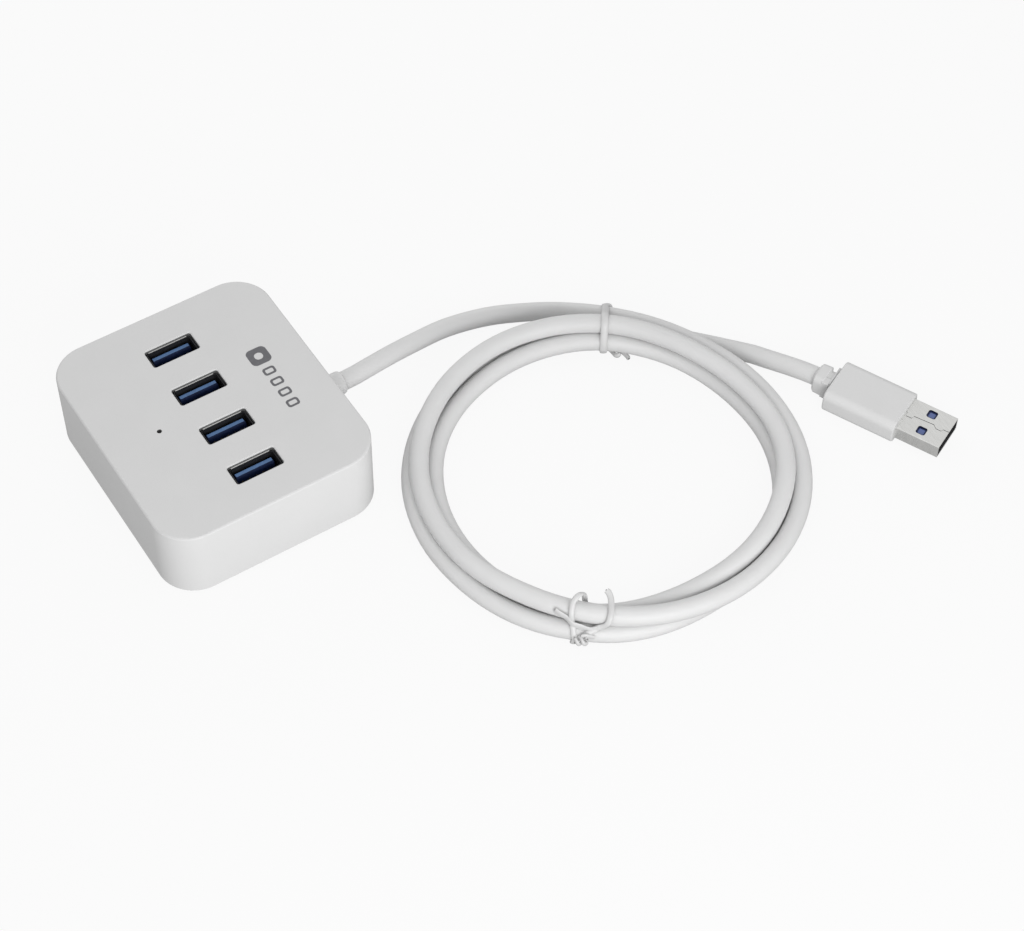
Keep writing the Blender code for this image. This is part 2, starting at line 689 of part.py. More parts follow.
def main():
    clear_scene()
    white = material("case_white", (0.66, 0.67, 0.68), 0.42)
    jacket = material("cable_jacket", (0.66, 0.66, 0.66), 0.5)
    tie_white = material("tie_white", (0.7, 0.7, 0.7), 0.4)
    blue = material("port_blue", (0.06, 0.16, 0.5), 0.35)
    steel = material("nickel_steel", (0.6, 0.6, 0.6), 0.28, 1.0)
    screw_steel = material("screw_steel", (0.35, 0.35, 0.36), 0.35, 1.0)
    rubber = material("rubber", (0.05, 0.05, 0.05), 0.8)
    green = material("board_green", (0.02, 0.2, 0.07), 0.45)
    black = material("chip_black", (0.03, 0.03, 0.03), 0.5)
    tin = material("tin", (0.7, 0.7, 0.7), 0.3, 1.0)
    clear = material("clear_plastic", (0.85, 0.9, 0.95), 0.1)
    ivory = material("header_ivory", (0.7, 0.66, 0.55), 0.5)
    wires = [("wire_red", material("wire_red", (0.5, 0.02, 0.02), 0.5)),
             ("wire_white", material("wire_white", (0.7, 0.7, 0.7), 0.5)),
             ("wire_green", material("wire_green", (0.02, 0.3, 0.06), 0.5)),
             ("wire_black", material("wire_black", (0.02, 0.02, 0.02), 0.5))]

    make_top_cover(white)
    make_bottom_cover(white)
    for i, center in enumerate(corners(SCREW_X, SCREW_Y), 1):
        make_screw(f"case_screw_{i}", center, screw_steel)
    for i, center in enumerate(corners(FOOT_X, FOOT_Y), 1):
        make_foot(f"foot_{i}", center, rubber)
    for i, x in enumerate(port_centers(), 1):
        make_socket_shell(f"socket_shell_{i}", x, steel)
        make_socket_insulator(f"socket_insulator_{i}", x, blue)
    make_board(green)
    make_chip("hub_controller_chip", (9.0 * MM, 9.0 * MM, 0.9 * MM), (-14.0 * MM, -14.0 * MM), black)
    make_chip("voltage_regulator", (6.5 * MM, 3.5 * MM, 1.7 * MM), (20.0 * MM, 13.0 * MM), black)
    make_chip("status_led", (1.6 * MM, 1.6 * MM, 0.8 * MM), (LED_X, LED_Y), clear)
    make_crystal(tin)
    make_capacitor("capacitor_1", 11.0 * MM, tin)
    make_capacitor("capacitor_2", 20.0 * MM, tin)
    make_light_pipe(clear)
    make_cable_header(ivory)
    make_cable_tail(jacket)
    make_wires(wires)
    make_strain_relief(jacket)
    make_tube("cable_hub_lead", smooth_route(in_metres(HUB_LEAD), ROUTE_STEP), CABLE_R, jacket)
    make_coil(jacket)
    make_tube("cable_plug_lead", smooth_route(in_metres(PLUG_LEAD), ROUTE_STEP / 2), CABLE_R, jacket)
    for i, angle in enumerate(TIE_ANGLES, 1):
        make_twist_tie(f"twist_tie_{i}", angle, tie_white)
    make_plug_neck(jacket)
    make_plug_mould(white)
    make_plug_shell(steel)
    make_plug_insulator(blue)


main()
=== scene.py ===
"""Looks of the four-port USB hub: fine case, ports, cable, ties and plug, with their materials.

Metres, +Z up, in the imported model's frame: the ports lie along X and the cable leaves at +Y.
Lengths inside the functions are written in millimetres times MM.
"""

import math

import bmesh
import bpy
import numpy as np
from mathutils import Matrix, Quaternion, Vector


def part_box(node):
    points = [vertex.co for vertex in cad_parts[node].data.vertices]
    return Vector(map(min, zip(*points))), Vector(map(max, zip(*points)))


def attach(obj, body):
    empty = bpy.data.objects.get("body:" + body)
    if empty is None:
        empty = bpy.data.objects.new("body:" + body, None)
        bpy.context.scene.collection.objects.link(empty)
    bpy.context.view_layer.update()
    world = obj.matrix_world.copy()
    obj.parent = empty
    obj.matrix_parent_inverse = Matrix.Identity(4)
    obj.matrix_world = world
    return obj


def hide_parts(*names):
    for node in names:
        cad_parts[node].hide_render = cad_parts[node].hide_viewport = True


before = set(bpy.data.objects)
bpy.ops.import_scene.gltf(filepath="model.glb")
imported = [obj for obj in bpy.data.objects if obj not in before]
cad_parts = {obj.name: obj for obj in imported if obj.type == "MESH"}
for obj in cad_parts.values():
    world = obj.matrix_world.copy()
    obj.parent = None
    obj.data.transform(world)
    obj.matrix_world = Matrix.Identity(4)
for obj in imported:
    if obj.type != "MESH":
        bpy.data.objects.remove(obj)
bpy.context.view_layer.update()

MM = 0.001

# Camera: where it looks from, in degrees, and what it looks at
CAMERA_AZIMUTH = 56.7
CAMERA_ELEVATION = 52.44
CAMERA_ROLL = 1.03
CAMERA_LENS = 88.72
CAMERA_DISTANCE = 677.4 * MM
CAMERA_TARGET = Vector((43.55, 65.49, 0.0)) * MM

# Case
CASE_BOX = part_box("top_cover")
CASE_W = CASE_BOX[1].x - CASE_BOX[0].x
CASE_D = CASE_BOX[1].y - CASE_BOX[0].y
CASE_TOP = CASE_BOX[1].z
CASE_BOTTOM = CASE_BOX[0].z
CORNER_R = 10.5 * MM
EDGE_R = 0.6 * MM
WALL = 1.8 * MM
ROOF = 2.0 * MM

# Ports
PORTS = 4
SHEET = 0.3 * MM
MOUTH_GAP = 0.3 * MM
MOUTH_CORNER = 0.7 * MM
LEAD_IN = 0.35 * MM             # rounding of the top face into each mouth
TONGUE_T = 1.84 * MM
TONGUE_L = 11.1 * MM
TONGUE_BACK = 0.7 * MM

# Status light
LED_X = 0.4 * MM
LED_Y = -15.7 * MM
LED_R = 0.65 * MM
LED_EASE = 0.12 * MM

# Cable
CABLE_R = 2.65 * MM
CABLE_D = 2 * CABLE_R
ROUTE_STEP = 3.0                # spacing of the cable's points, in millimetres
EXIT = Vector((0.5, 38.4, 8.6)) * MM
COIL = Vector((60.4, 84.8, 0.0)) * MM

# The lead from inside the strain relief to the coil, in millimetres
HUB_LEAD = [(0.5, 36.6, 8.6), (0.5, 39.0, 8.6), (0.3, 42.5, 8.5), (-0.6, 47.3, 7.9),
            (-2.7, 56.1, 6.0), (-4.4, 64.8, 4.1), (-5.3, 73.0, 2.95), (-4.4, 80.4, 2.7),
            (-2.6, 87.2, 2.65), (0.0, 93.4, 2.65), (3.9, 100.9, 2.65)]
# The three turns, clockwise from above: degrees round the coil, distance from its middle, height
TURNS = [(158, 56.8, 3.0), (152, 53.4, 5.2), (146, 50.8, 6.5), (138, 49.0, 7.1), (128, 48.1, 7.3),
         (116, 47.9, 7.2), (100, 48.8, 6.6), (80, 50.4, 5.4), (60, 51.6, 5.2), (40, 52.0, 5.9),
         (20, 51.9, 6.8), (0, 51.5, 7.2), (340, 50.8, 7.3), (320, 49.4, 7.6), (300, 48.4, 7.3),
         (280, 49.2, 7.2), (260, 49.8, 7.2), (240, 50.2, 7.3), (220, 50.0, 7.3), (200, 49.8, 7.5),
         (180, 49.0, 8.0), (165, 47.1, 9.2), (150, 45.1, 10.0),
         # second turn
         (135, 44.0, 10.3), (120, 43.5, 10.1), (105, 43.9, 9.4), (90, 45.0, 8.7), (75, 46.6, 8.2),
         (60, 47.2, 7.9), (40, 46.8, 7.9), (20, 46.5, 7.4), (0, 46.1, 6.4), (345, 46.2, 5.0),
         (330, 46.8, 3.6), (315, 46.9, 2.65), (290, 46.4, 2.65), (260, 46.2, 2.65),
         (230, 46.4, 2.65), (200, 46.4, 2.8), (180, 45.6, 3.8), (165, 44.3, 5.2), (150, 43.2, 6.2),
         # third turn
         (135, 43.0, 5.2), (120, 43.6, 3.6), (105, 43.8, 2.8), (90, 44.2, 2.65), (75, 45.2, 2.65),
         (60, 46.2, 2.65), (45, 47.0, 2.65), (30, 47.6, 2.65), (15, 48.2, 2.65), (0, 48.9, 2.65),
         (340, 50.6, 2.65), (320, 51.8, 2.65), (300, 52.1, 2.65), (280, 51.9, 2.65),
         (260, 52.2, 2.65), (240, 52.2, 2.65), (220, 51.4, 2.65), (200, 50.4, 2.65),
         (180, 49.2, 2.65), (165, 47.8, 2.65), (150, 46.8, 2.65), (138, 47.6, 2.65),
         (128, 50.0, 2.65), (118, 52.4, 2.65)]
# The lead from the coil into the plug's sleeve, in millimetres
PLUG_LEAD = [(47.7, 141.7, 2.65), (50.8, 143.8, 2.65), (55.5, 146.9, 2.9), (60.4, 149.5, 3.5),
             (64.05, 151.2, 3.9), (66.0, 152.1, 3.9)]

# Ties
TIE_1_ANGLE = 147.0
TIE_2_ANGLE = 317.0
TIE_UNDER = 0.6 * MM            # thickness of the bands under the coil
WIRE_OUT = 0.5 * MM             # length of a tie's bare wire end
WIRE_SHARE = 0.28               # the wire's radius as a share of the tie's thickness

# Plug
PLUG_BASE = Vector((88.7, 162.8, 3.9)) * MM
PLUG_TURN = math.radians(25.5)
SHELL_W = 12.0 * MM
SHELL_H = 4.5 * MM
SHELL_OUT = 12.9 * MM
SHELL_IN = 3.0 * MM             # how deep the shell sits in the overmould
MOULD_L = 21.4 * MM
MOULD_W = 15.0 * MM
MOULD_H = 7.6 * MM
LATCH = 2.7 * MM
PLUG_INSET = 1.0 * MM           # the insulator ends this far inside the shell
LATCH_X = 6.4 * MM
LATCH_Y = 3.25 * MM

# Light: an even room, a floor that glows faintly and reads as white, and soft panels
WORLD_LIGHT = 0.72
FLOOR_LIGHT = 0.34
FLOOR_SEEN = 0.91
FLOOR_SIZE = 4.0
# each panel: name, place, side, power
LIGHTS = [("front", (0.45, -0.05, 0.2), 0.3, 1.35),
          ("fill", (-0.6, 0.2, 0.16), 0.5, 1.2)]


# ---------------------------------------------------------------- camera and room

def add_camera():
    azimuth = math.radians(CAMERA_AZIMUTH)
    elevation = math.radians(CAMERA_ELEVATION)
    roll = math.radians(CAMERA_ROLL)
    back = Vector((math.sin(azimuth) * math.cos(elevation),
                   -math.cos(azimuth) * math.cos(elevation), math.sin(elevation)))
    data = bpy.data.cameras.new("camera")
    data.sensor_width = 36.0
    data.lens = CAMERA_LENS
    data.clip_start = 0.01
    camera = bpy.data.objects.new("camera", data)
    bpy.context.collection.objects.link(camera)
    camera.location = CAMERA_TARGET + back * CAMERA_DISTANCE
    camera.rotation_mode = "QUATERNION"
    camera.rotation_quaternion = (-back).to_track_quat("-Z", "Y") @ Quaternion((0, 0, 1), roll)
    bpy.context.scene.camera = camera


def add_area_light(name, place, size, power, target=(0.04, 0.06, 0.0)):
    data = bpy.data.lights.new(name, "AREA")
    data.size = size
    data.energy = power
    lamp = bpy.data.objects.new(name, data)
    lamp.location = place
    lamp.rotation_mode = "QUATERNION"
    lamp.rotation_quaternion = (Vector(target) - Vector(place)).to_track_quat("-Z", "Y")
    bpy.context.collection.objects.link(lamp)


def add_room():
    scene = bpy.context.scene
    scene.view_settings.view_transform = "Standard"
    world = bpy.data.worlds.new("studio")
    scene.world = world
    world.use_nodes = True
    shade = world.node_tree.nodes["Background"]
    shade.inputs["Color"].default_value = (1.0, 1.0, 1.0, 1.0)
    shade.inputs["Strength"].default_value = WORLD_LIGHT

    bm = bmesh.new()
    bmesh.ops.create_grid(bm, x_segments=1, y_segments=1, size=FLOOR_SIZE)
    mesh = bpy.data.meshes.new("floor")
    bm.to_mesh(mesh)
    bm.free()
    floor = bpy.data.objects.new("floor", mesh)
    bpy.context.collection.objects.link(floor)
    mat = bpy.data.materials.new("floor")
    mat.use_nodes = True
    tree = mat.node_tree
    shader = tree.nodes["Principled BSDF"]
    shader.inputs["Base Color"].default_value = (0.05, 0.05, 0.05, 1.0)
    shader.inputs["Roughness"].default_value = 0.9
    shader.inputs["Specular IOR Level"].default_value = 0.0
    shader.inputs["Emission Color"].default_value = (1.0, 1.0, 1.0, 1.0)
    rays = tree.nodes.new("ShaderNodeLightPath")
    glow = tree.nodes.new("ShaderNodeMapRange")
    glow.inputs["To Min"].default_value = FLOOR_LIGHT
    glow.inputs["To Max"].default_value = FLOOR_SEEN
    tree.links.new(rays.outputs["Is Camera Ray"], glow.inputs["Value"])
    tree.links.new(glow.outputs["Result"], shader.inputs["Emission Strength"])
    mesh.materials.append(mat)

    for name, place, size, power in LIGHTS:
        add_area_light(name, place, size, power)


# ---------------------------------------------------------------- materials

def node(tree, kind, **inputs):
    made = tree.nodes.new(kind)
    for name, value in inputs.items():
        made.inputs[name].default_value = value
    return made


def surface(name, color, roughness, metallic=0.0, mottle=0.04, mottle_scale=60.0, grain=0.0,
            grain_scale=4000.0, rough_vary=0.05, stretch=(1.0, 1.0, 1.0), **shader_values):
    """A Principled material with mottled colour, uneven roughness and a fine bump.

    Scales are in features per metre. shader_values are set on the shader's own sockets."""
    mat = bpy.data.materials.new(name)
    mat.use_nodes = True
    tree = mat.node_tree
    link = tree.links.new
    shader = tree.nodes["Principled BSDF"]
    shader.inputs["Metallic"].default_value = metallic
    for socket, value in shader_values.items():
        shader.inputs[socket.replace("_", " ")].default_value = value

    place = node(tree, "ShaderNodeTexCoord")
    mapping = node(tree, "ShaderNodeMapping", Scale=stretch)
    link(place.outputs["Object"], mapping.inputs["Vector"])

    cloud = node(tree, "ShaderNodeTexNoise", Scale=mottle_scale, Detail=4.0, Roughness=0.6)
    link(mapping.outputs["Vector"], cloud.inputs["Vector"])
    tint = tree.nodes.new("ShaderNodeValToRGB")
    tint.color_ramp.elements[0].position = 0.3
    tint.color_ramp.elements[1].position = 0.7
    tint.color_ramp.elements[0].color = (*(c * (1 - mottle) for c in color), 1.0)
    tint.color_ramp.elements[1].color = (*(min(1.0, c * (1 + mottle)) for c in color), 1.0)
    link(cloud.outputs["Fac"], tint.inputs["Fac"])
    link(tint.outputs["Color"], shader.inputs["Base Color"])

    rough = node(tree, "ShaderNodeMapRange")
    rough.inputs["From Min"].default_value = 0.3
    rough.inputs["From Max"].default_value = 0.7
    rough.inputs["To Min"].default_value = roughness - rough_vary
    rough.inputs["To Max"].default_value = roughness + rough_vary
    link(cloud.outputs["Fac"], rough.inputs["Value"])
    link(rough.outputs["Result"], shader.inputs["Roughness"])

    if grain:
        fine = node(tree, "ShaderNodeTexNoise", Scale=grain_scale, Detail=2.0)
        link(mapping.outputs["Vector"], fine.inputs["Vector"])
        bump = node(tree, "ShaderNodeBump", Strength=grain, Distance=0.05 * MM)
        link(fine.outputs["Fac"], bump.inputs["Height"])
        link(bump.outputs["Normal"], shader.inputs["Normal"])
    return mat


def make_materials():
    """Every material by name. White plastics differ in gloss and grain, as mouldings do."""
    return {
        "case_top": surface("case_top", (0.63, 0.63, 0.63), 0.55, grain=0.5, grain_scale=5500.0,
                            mottle=0.012, mottle_scale=90.0),
        # painted shade: a dark grey stands in for the shade on the white plastic walls of the
        # mouths and the light's hole
        "case_mouth_painted_shade": surface("case_mouth_painted_shade", (0.12, 0.12, 0.12), 0.6, grain=0.2),
        "case_side": surface("case_side", (0.74, 0.74, 0.74), 0.2, grain=0.05, grain_scale=350.0,
                             mottle=0.01, rough_vary=0.04, Coat_Weight=0.3, Coat_Roughness=0.08),
        "case_inside": surface("case_inside", (0.7, 0.7, 0.7), 0.5, grain=0.2),
        "jacket": surface("jacket", (0.655, 0.655, 0.655), 0.55, grain=0.22, grain_scale=2600.0,
                          mottle=0.018, mottle_scale=45.0, rough_vary=0.07,
                          Subsurface_Weight=0.6, Subsurface_Radius=(1.0, 1.0, 1.0),
                          Subsurface_Scale=1.6 * MM),
        "plug_white": surface("plug_white", (0.65, 0.65, 0.65), 0.6, grain=0.25,
                              grain_scale=3800.0, mottle=0.015, Specular_IOR_Level=0.3),
        "tie": surface("tie", (0.6, 0.6, 0.6), 0.4, grain=0.4, grain_scale=900.0,
                       mottle=0.03, mottle_scale=400.0),
        "tie_core": surface("tie_core", (0.4, 0.4, 0.4), 0.4, metallic=0.8),
        "nickel": surface("nickel", (0.79, 0.79, 0.775), 0.3, metallic=0.8, grain=0.12,
                          grain_scale=900.0, stretch=(1.0, 9.0, 1.0), mottle=0.05,
                          mottle_scale=300.0, rough_vary=0.06),
        "gold": surface("gold", (0.83, 0.62, 0.28), 0.25, metallic=1.0, grain=0.1,
                        grain_scale=3000.0),
        # painted shade: a dark copy of the gold, for the contacts deep in the sockets
        "gold_painted_shade": surface("gold_painted_shade", (0.16, 0.12, 0.06), 0.4, metallic=0.7, grain=0.1,
                             grain_scale=3000.0),
        # painted shade: a near-black copy of the plating, for metal that lies in shade in the
        # sockets and inside the plug's shell
        "plating_painted_shade": surface("plating_painted_shade", (0.03, 0.03, 0.032), 0.45, metallic=0.6, grain=0.2,
                             grain_scale=1500.0, mottle=0.2, mottle_scale=500.0),
        # the tongue's blue in two copies: a near-black one with painted shade for its sides, a
        # lighter one with painted light for its top
        "blue": surface("blue", (0.01, 0.02, 0.07), 0.6, grain=0.3, grain_scale=3000.0,
                        mottle=0.3, mottle_scale=900.0, Specular_IOR_Level=0.2),
        "blue_painted_lit": surface("blue_painted_lit", (0.10, 0.20, 0.40), 0.4, grain=0.3, grain_scale=3000.0,
                            mottle=0.12, mottle_scale=900.0),
        # painted shade: a dark navy copy of the plug's blue, for the shade round the latch holes
        "plug_blue_painted_shade": surface("plug_blue_painted_shade", (0.02, 0.03, 0.1), 0.4, grain=0.2, grain_scale=3000.0,
                             mottle=0.1, mottle_scale=700.0),
        "plug_blue": surface("plug_blue", (0.1, 0.14, 0.32), 0.4, grain=0.2, grain_scale=3000.0,
                             mottle=0.08, mottle_scale=700.0),
        "print": surface("print", (0.12, 0.12, 0.13), 0.55, grain=0.4, grain_scale=6000.0,
                         mottle=0.1, mottle_scale=900.0),
        "screw": surface("screw", (0.42, 0.42, 0.43), 0.32, metallic=1.0, grain=0.3,
                         grain_scale=2500.0, mottle=0.1, mottle_scale=700.0),
        "rubber": surface("rubber", (0.03, 0.03, 0.03), 0.75, grain=0.7, grain_scale=2500.0,
                          mottle=0.2),
        "board": surface("board", (0.015, 0.16, 0.06), 0.35, grain=0.3, grain_scale=900.0,
                         mottle=0.15, mottle_scale=500.0),
        "chip": surface("chip", (0.02, 0.02, 0.022), 0.5, grain=0.5, mottle=0.2),
        "can": surface("can", (0.74, 0.74, 0.74), 0.25, metallic=1.0, grain=0.15,
                       grain_scale=1500.0, stretch=(1.0, 1.0, 12.0)),
        "clear": surface("clear", (0.6, 0.61, 0.62), 0.12, mottle=0.01, grain=0.05,
                         Transmission_Weight=0.3, IOR=1.49),
        "ivory": surface("ivory", (0.66, 0.6, 0.46), 0.45, grain=0.3, mottle=0.04),
        "wire_red": surface("wire_red", (0.5, 0.02, 0.02), 0.4, grain=0.2),
        "wire_white": surface("wire_white", (0.7, 0.7, 0.7), 0.4, grain=0.2),
        "wire_green": surface("wire_green", (0.02, 0.3, 0.06), 0.4, grain=0.2),
        "wire_black": surface("wire_black", (0.02, 0.02, 0.02), 0.4, grain=0.2),
    }


def paint_cad_nodes(mats):
    """Give each CAD node that stays in view its material."""
    looks = {"bottom_cover": "case_inside", "main_board": "board", "hub_controller_chip": "chip",
             "voltage_regulator": "chip", "crystal": "can", "capacitor": "can",
             "light_pipe": "clear", "status_led": "clear", "cable_header": "ivory",
             "cable_tail": "jacket", "hub_strain_relief": "jacket", "case_screw": "screw",
             "foot": "rubber", "wire_red": "wire_red", "wire_white": "wire_white",
             "wire_green": "wire_green", "wire_black": "wire_black"}
    for name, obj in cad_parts.items():
        for start, look in looks.items():
            if name.startswith(start):
                for slot in obj.material_slots:
                    slot.link = "OBJECT"
                    slot.material = mats[look]


# ---------------------------------------------------------------- mesh helpers

def finish_mesh(name, bm, materials, smooth=35.0):
    """A closed bmesh becomes an object, shaded smooth except across sharp edges."""
    bmesh.ops.recalc_face_normals(bm, faces=bm.faces)
    mesh = bpy.data.meshes.new(name)
    bm.to_mesh(mesh)
    bm.free()
    for mat in materials:
        mesh.materials.append(mat)
    mesh.shade_smooth()
    mesh.set_sharp_from_angle(angle=math.radians(smooth))
    obj = bpy.data.objects.new(name, mesh)
    bpy.context.collection.objects.link(obj)
    return obj


def soften(obj, width, segments):
    """Round an object's sharp edges off."""
    bevel = obj.modifiers.new("edges", "BEVEL")
    bevel.width = width
    bevel.segments = segments
    bevel.limit_method = "ANGLE"


def cut(obj, bm):
    """Cut a bmesh out of an object and keep the result as its mesh."""
    mesh = bpy.data.meshes.new("cutter")
    bmesh.ops.recalc_face_normals(bm, faces=bm.faces)
    bm.to_mesh(mesh)
    bm.free()
    cutter = bpy.data.objects.new("cutter", mesh)
    bpy.context.collection.objects.link(cutter)
    modifier = obj.modifiers.new("cut", "BOOLEAN")
    modifier.operation = "DIFFERENCE"
    modifier.solver = "EXACT"
    modifier.object = cutter
    depsgraph = bpy.context.evaluated_depsgraph_get()
    result = bpy.data.meshes.new_from_object(obj.evaluated_get(depsgraph))
    obj.modifiers.clear()
    obj.data = result
    bpy.data.objects.remove(cutter, do_unlink=True)


def rounded_rectangle(width, depth, radius, steps, center=(0.0, 0.0)):
    """Points counter-clockwise, with steps segments in each corner."""
    points = []
    for sx, sy, start in ((1, 1, 0.0), (-1, 1, 90.0), (-1, -1, 180.0), (1, -1, 270.0)):
        corner_x = center[0] + sx * (width / 2 - radius)
        corner_y = center[1] + sy * (depth / 2 - radius)
        for i in range(steps + 1):
            angle = math.radians(start + 90.0 * i / steps)
            points.append((corner_x + radius * math.cos(angle),
                           corner_y + radius * math.sin(angle)))
    return points


def at_height(points, z):
    return [(x, y, z) for x, y in points]


def loft(bm, loops, ring=False):
    """Skin a row of equal loops; close it with caps, or into a ring."""
    rows = [[bm.verts.new(p) for p in loop] for loop in loops]
    pairs = list(zip(rows, rows[1:]))
    if ring:
        pairs.append((rows[-1], rows[0]))
    for a, b in pairs:
        count = len(a)
        for i in range(count):
            j = (i + 1) % count
            bm.faces.new((a[i], a[j], b[j], b[i]))
    if not ring:
        bm.faces.new(list(reversed(rows[0])))
        bm.faces.new(rows[-1])


def add_box(bm, size, center, matrix=Matrix()):
    made = bmesh.ops.create_cube(bm, size=1.0)
    fit = matrix @ Matrix.Translation(center) @ Matrix.Diagonal((*size, 1.0))
    bmesh.ops.transform(bm, matrix=fit, verts=made["verts"])


def sweep(bm, path, frames, width, thickness, sides=12):
    """A flattened round bar along a path; frames give each point's two cross directions."""
    loops = []
    for point, (u, v) in zip(path, frames):
        loop = []
        for i in range(sides):
            angle = 2 * math.pi * i / sides
            loop.append(point + u * (width / 2 * math.cos(angle))
                        + v * (thickness / 2 * math.sin(angle)))
        loops.append(loop)
    loft(bm, loops)


def path_frames(path, wide):
    """Cross directions along a path whose broad side keeps as near to wide as it can."""
    frames = []
    for i, _ in enumerate(path):
        run = (path[min(i + 1, len(path) - 1)] - path[max(i - 1, 0)]).normalized()
        u = (wide - run * wide.dot(run)).normalized()
        frames.append((u, run.cross(u).normalized()))
    return frames


def smooth_points(points, spacing):
    """Points at an even spacing on a smooth curve through the given ones."""
    knots = [np.array(p, float) for p in points]
    ends = [2 * knots[0] - knots[1]] + knots + [2 * knots[-1] - knots[-2]]
    dense = []
    fine = 16
    for a, b, c, d in zip(ends, ends[1:], ends[2:], ends[3:]):
        for i in range(fine):
            t = i / fine
            dense.append(0.5 * (2 * b + (c - a) * t + (2 * a - 5 * b + 4 * c - d) * t * t
                                + (3 * b - a - 3 * c + d) * t ** 3))
    dense.append(knots[-1])
    dense = np.array(dense)
    run = np.concatenate([[0.0], np.cumsum(np.linalg.norm(np.diff(dense, axis=0), axis=1))])
    count = max(3, round(run[-1] / spacing))
    at = np.linspace(0.0, run[-1], count + 1)
    return np.stack([np.interp(at, run, dense[:, k]) for k in range(3)], axis=1)


# ---------------------------------------------------------------- cable

def coil_point(angle, radius, height):
    turn = math.radians(angle)
    return (COIL.x / MM + radius * math.cos(turn), COIL.y / MM + radius * math.sin(turn), height)


def coil_points(step=7.5):
    """The turns at an even step of angle, eased between the heights and distances of TURNS."""
    stations = []
    for angle, radius, height in TURNS:
        while stations and angle > stations[-1][0]:
            angle -= 360
        stations.append((angle, radius, height))
    keys = np.array(stations, float)
    along = -keys[:, 0]
    slopes = np.gradient(keys[:, 1:], along, axis=0)
    points = []
    for at in np.arange(along[0], along[-1] + step / 2, step):
        at = min(at, along[-1])
        i = min(int(np.searchsorted(along, at, side="right")) - 1, len(along) - 2)
        span = along[i + 1] - along[i]
        t = (at - along[i]) / span
        radius, height = ((2 * t ** 3 - 3 * t ** 2 + 1) * keys[i, 1:]
                          + (t ** 3 - 2 * t ** 2 + t) * span * slopes[i]
                          + (3 * t ** 2 - 2 * t ** 3) * keys[i + 1, 1:]
                          + (t ** 3 - t ** 2) * span * slopes[i + 1])
        points.append(coil_point(-at, radius, height))
    return points


def tie_lift(places):
    """How far the ties that pass underneath lift the cable off the floor, in millimetres."""
    lift = np.zeros(len(places))
    offsets = places[:, :2] - np.array([COIL.x, COIL.y]) / MM
    for angle in (TIE_1_ANGLE, TIE_2_ANGLE):
        turn = math.radians(angle)
        out = offsets @ (math.cos(turn), math.sin(turn))
        along = offsets @ (-math.sin(turn), math.cos(turn))
        lift += np.where(out > 0, TIE_UNDER / MM * np.exp(-(along / 6.0) ** 2), 0.0)
    return lift


def push_apart(route, rounds=200):
    """Move the cable's own strands off each other, for a set number of rounds.

    Each push is spread along the cable, the shifts are smoothed, and they fade towards the
    given route, so that the cable keeps its lay. The floor and both ends hold it."""
    diameter = CABLE_D / MM
    places = route.copy()
    index = np.arange(len(route))
    spacing = np.linalg.norm(route[1] - route[0])
    apart = np.abs(index[:, None] - index[None, :]) * spacing > 3 * diameter
    reach = 6
    spread_width = 2.5
    weights = np.exp(-0.5 * (np.arange(-reach, reach + 1) / spread_width) ** 2)
    weights /= weights.sum()
    fixed = 5
    smoothing = 0.25
    fade = 0.02
    for turn in range(rounds):
        gaps = places[:, None] - places[None]
        distance = np.linalg.norm(gaps, axis=2)
        touching = (distance < diameter) & apart
        push = np.where(touching, (diameter - distance) / 2, 0.0)
        moves = (gaps / np.maximum(distance, 1e-6)[..., None] * push[..., None]).sum(axis=1)
        moves /= np.maximum(touching.sum(axis=1), 1)[:, None]
        spread = np.stack([np.convolve(np.pad(moves[:, k], reach, "edge"), weights, "valid")
                           for k in range(3)], axis=1)
        shift = places + 0.5 * moves + 0.9 * spread - route
        eased = shift.copy()
        eased[1:-1] = 0.25 * shift[:-2] + 0.5 * shift[1:-1] + 0.25 * shift[2:]
        shift += (eased - shift) * smoothing
        shift *= 1 - fade * (1 - turn / rounds)
        places = route + shift
        places[:, 2] = np.maximum(places[:, 2], diameter / 2 + tie_lift(places))
        places[:fixed] = route[:fixed]
        places[-fixed:] = route[-fixed:]
    return places


def cable_route():
    points = HUB_LEAD + coil_points() + PLUG_LEAD
    return push_apart(smooth_points(points, ROUTE_STEP))


def make_cable(route, mats):
    data = bpy.data.curves.new("cable", "CURVE")
    data.dimensions = "3D"
    data.bevel_depth = CABLE_R
    data.bevel_resolution = 8
    data.use_fill_caps = True
    spline = data.splines.new("POLY")
    spline.points.add(len(route) - 1)
    for point, place in zip(spline.points, route):
        point.co = (*(place * MM), 1.0)
    spline.use_smooth = True
    data.materials.append(mats["jacket"])
    cable = bpy.data.objects.new("cable", data)
    bpy.context.collection.objects.link(cable)
    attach(cable, "root")
    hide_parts("cable_hub_lead", "cable_coil", "cable_plug_lead")
    return cable


# ---------------------------------------------------------------- ties

